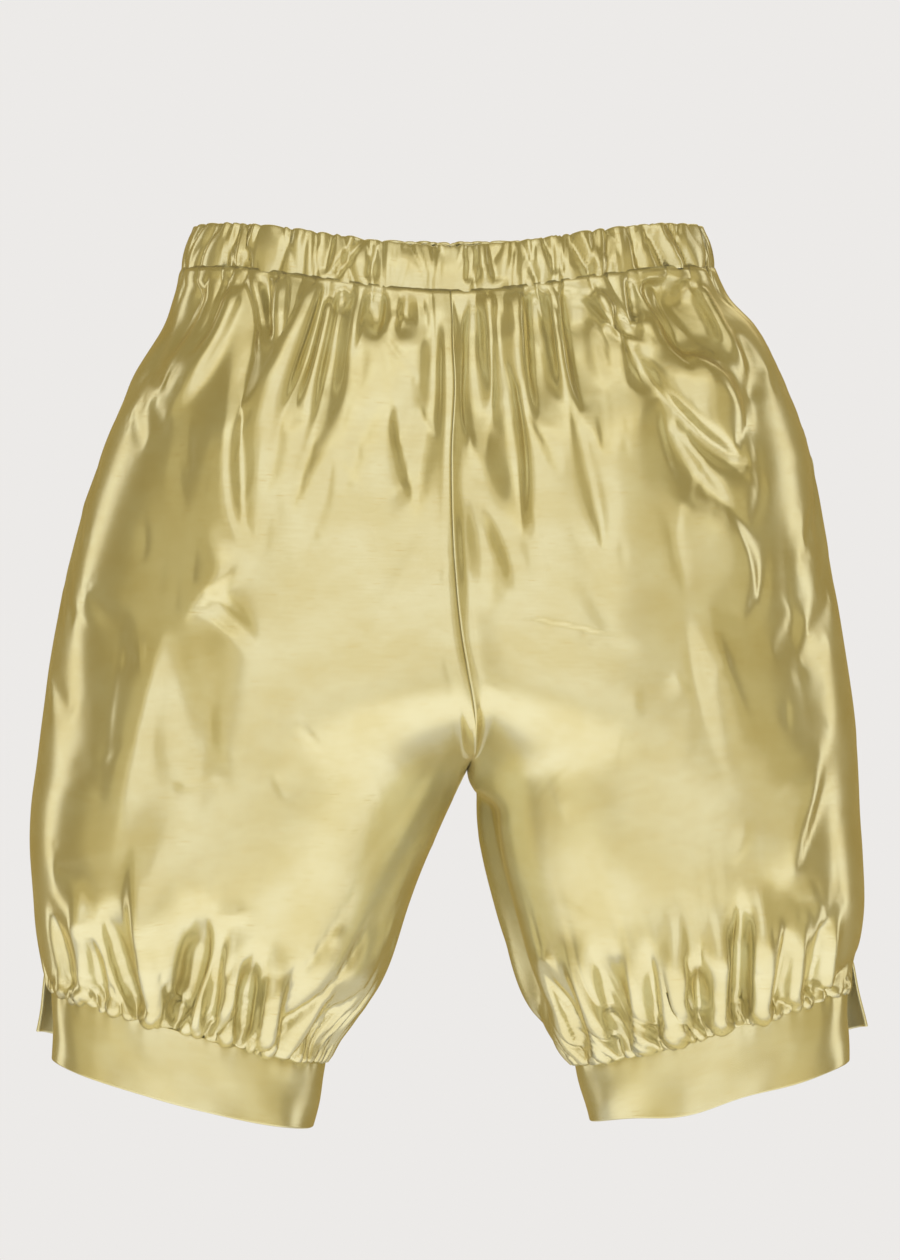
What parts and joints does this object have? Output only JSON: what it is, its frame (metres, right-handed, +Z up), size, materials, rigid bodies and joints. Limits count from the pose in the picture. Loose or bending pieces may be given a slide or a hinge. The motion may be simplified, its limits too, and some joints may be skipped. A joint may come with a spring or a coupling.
{
  "type": "knee breeches",
  "caption": "Full knee breeches in gold silk dupion with a gathered waist casing, a centre seam and plain knee bands that are open at the outer side.",
  "frame": {"origin": "middle of the waist opening, half way up the waist casing, where the wearer holds the breeches up", "axes": "+Z up towards the waist, -Y to the front, -X to the wearer's right leg"},
  "size_m": [0.3703, 0.1776, 0.4011],
  "materials": {
    "silk_dupion": "crisp pale gold slubbed silk with a soft sheen"
  },
  "bodies": {
    "root": {"front_right": "silk_dupion", "front_left": "silk_dupion", "back_right": "silk_dupion", "back_left": "silk_dupion", "waist_casing": "silk_dupion", "knee_band_right": "silk_dupion", "knee_band_left": "silk_dupion"}
  },
  "joints": []
}
